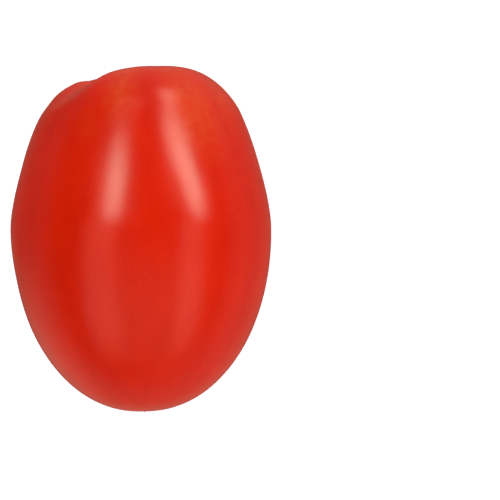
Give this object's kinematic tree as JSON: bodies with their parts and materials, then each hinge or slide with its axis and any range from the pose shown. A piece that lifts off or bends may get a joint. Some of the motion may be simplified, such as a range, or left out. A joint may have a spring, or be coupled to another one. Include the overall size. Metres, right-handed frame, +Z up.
{
  "type": "tomato",
  "caption": "Whole ripe plum tomato with its stem off: an oval fruit with lobed shoulders and a stem dip, lying on a small flat spot.",
  "frame": {"origin": "bottom centre of the fruit's box, on the surface it lies on", "axes": "+Z up, +Y along the stem axis towards the stem end, X across the fruit"},
  "size_m": [0.0562, 0.0742, 0.0559],
  "materials": {
    "skin": "ripe red tomato skin, smooth and waxy, satin gloss",
    "stem_scar": "dry corky scar tissue, matt and finely cracked"
  },
  "bodies": {
    "root": {"tomato": "skin"}
  },
  "joints": []
}
